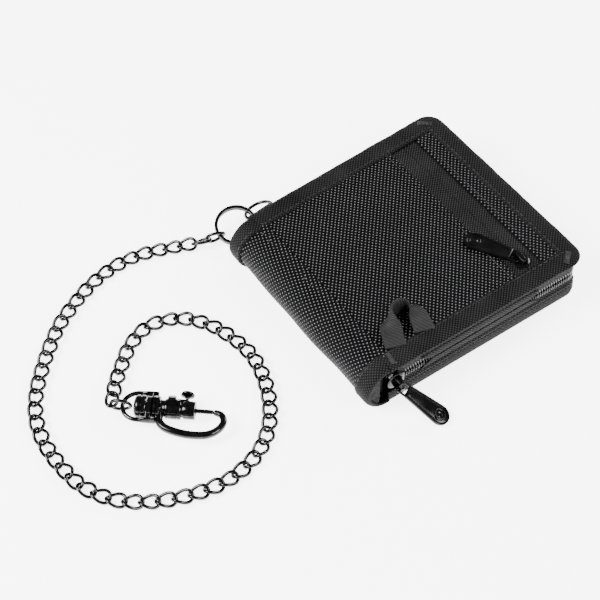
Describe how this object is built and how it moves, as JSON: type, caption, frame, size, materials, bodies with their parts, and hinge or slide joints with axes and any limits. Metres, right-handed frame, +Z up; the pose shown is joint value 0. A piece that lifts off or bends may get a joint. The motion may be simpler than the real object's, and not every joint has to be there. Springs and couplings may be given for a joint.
{
  "type": "chain wallet",
  "caption": "Folded woven-nylon wallet with a zip round its edge and a zipped outer pocket, a ribbon loop, and a curb chain ending in a swivel bolt snap.",
  "frame": {"origin": "under the middle of the closed wallet's rear panel, on the surface it lies on", "axes": "+Z up through the wallet's thickness, +X from the fold (spine) to the open edge, +Y along the spine to the edge with the ring tab"},
  "size_m": [0.2329, 0.1521, 0.0338],
  "materials": {
    "ballistic_nylon": "coarse basket weave, slight sheen",
    "binding_tape": "fine ribbed woven tape, satin",
    "grosgrain": "ribbed ribbon",
    "lining": "plain woven nylon",
    "zip_tape": "fine herringbone tape",
    "zip_coil": "nylon coil, satin",
    "board": "plain stiffener board",
    "clear_film": "clear vinyl film",
    "black_metal": "black gloss enamel on zinc",
    "gunmetal": "black nickel plate, polished",
    "spring_steel": "drawn wire"
  },
  "bodies": {
    "rear_half": {"rear_panel": "ballistic_nylon", "rear_stiffener": "board", "rear_lining": "lining", "rear_binding": "binding_tape", "spine_panel": "ballistic_nylon", "spine_bindings": "binding_tape", "edge_zip_tape_lower": "zip_tape", "edge_zip_coil_lower": "zip_coil", "edge_zip_stops": "black_metal", "bill_divider": "lining", "card_pocket_high": "lining", "card_pocket_mid": "lining", "card_pocket_low": "lining", "ring_tab": "grosgrain", "chain_links": "gunmetal", "end_link": "gunmetal"},
    "front_cover": {"front_panel": "lining", "front_stiffener": "board", "front_lining": "lining", "front_binding": "binding_tape", "outer_pocket_panel": "ballistic_nylon", "outer_strip": "ballistic_nylon", "pocket_zip_tapes": "zip_tape", "pocket_zip_coils": "zip_coil", "pocket_zip_stops": "black_metal", "edge_zip_tape_upper": "zip_tape", "edge_zip_coil_upper": "zip_coil", "id_window": "clear_film", "id_window_frame": "lining", "ribbon_loop": "grosgrain"},
    "pocket_slider": {"pocket_slider": "black_metal"},
    "pocket_puller": {"pocket_puller": "black_metal"},
    "edge_slider": {"edge_slider": "black_metal"},
    "edge_puller": {"edge_puller": "black_metal"},
    "tab_ring": {"tab_ring": "gunmetal"},
    "split_ring": {"split_ring": "gunmetal"},
    "snap_bail": {"snap_bail": "gunmetal"},
    "snap_body": {"swivel_rivet": "gunmetal", "snap_body": "gunmetal", "snap_hook": "gunmetal", "bolt_spring": "spring_steel"},
    "snap_bolt": {"snap_bolt": "gunmetal", "bolt_knob": "gunmetal"}
  },
  "joints": [
    {"name": "cover_fold", "type": "hinge", "parent": "rear_half", "child": "front_cover", "pos_m": [-0.046, 0, 0.01175], "axis": [0, -1, 0], "range_deg": [0, 150], "deforming": ["spine_panel", "spine_bindings"]},
    {"name": "pocket_zip_slide", "type": "slide", "parent": "front_cover", "child": "pocket_slider", "axis": [0, 1, 0], "range_m": [0, 0.057]},
    {"name": "pocket_puller_swing", "type": "hinge", "parent": "pocket_slider", "child": "pocket_puller", "pos_m": [0.034, -0.0376, 0.02361], "axis": [0.8829, 0.4695, 0], "range_deg": [0, 130]},
    {"name": "edge_zip_slide", "type": "slide", "parent": "rear_half", "child": "edge_slider", "axis": [1, 0, 0], "range_m": [0, 0.075]},
    {"name": "edge_puller_swing", "type": "hinge", "parent": "edge_slider", "child": "edge_puller", "pos_m": [-0.0426, -0.05505, 0.0127], "axis": [-0.8829, -0.4695, 0], "range_deg": [0, 90]},
    {"name": "tab_ring_swing", "type": "hinge", "parent": "rear_half", "child": "tab_ring", "pos_m": [-0.03367, 0.05394, 0.01115], "axis": [0.9859, 0, 0.1671], "range_deg": [-1, 1]},
    {"name": "split_ring_turn", "type": "hinge", "parent": "rear_half", "child": "split_ring", "pos_m": [-0.0455, 0.0597, 0.0064], "axis": [-0.1444, -0.2348, 0.9613], "continuous": true},
    {"name": "snap_yaw", "type": "hinge", "parent": "rear_half", "child": "snap_bail", "pos_m": [-0.13728, 0.00628, 0.0053], "axis": [0, 0, 1], "range_deg": [-20, 20]},
    {"name": "snap_swivel", "type": "hinge", "parent": "snap_bail", "child": "snap_body", "pos_m": [-0.138, 0.0069, 0.0053], "axis": [0.7547, -0.6561, 0], "continuous": true},
    {"name": "bolt_slide", "type": "slide", "parent": "snap_body", "child": "snap_bolt", "axis": [-0.7547, 0.6561, 0], "range_m": [0, 0.0058], "stiffness_N_per_m": 150, "springref_m": -0.002, "deforming": ["bolt_spring"]}
  ]
}
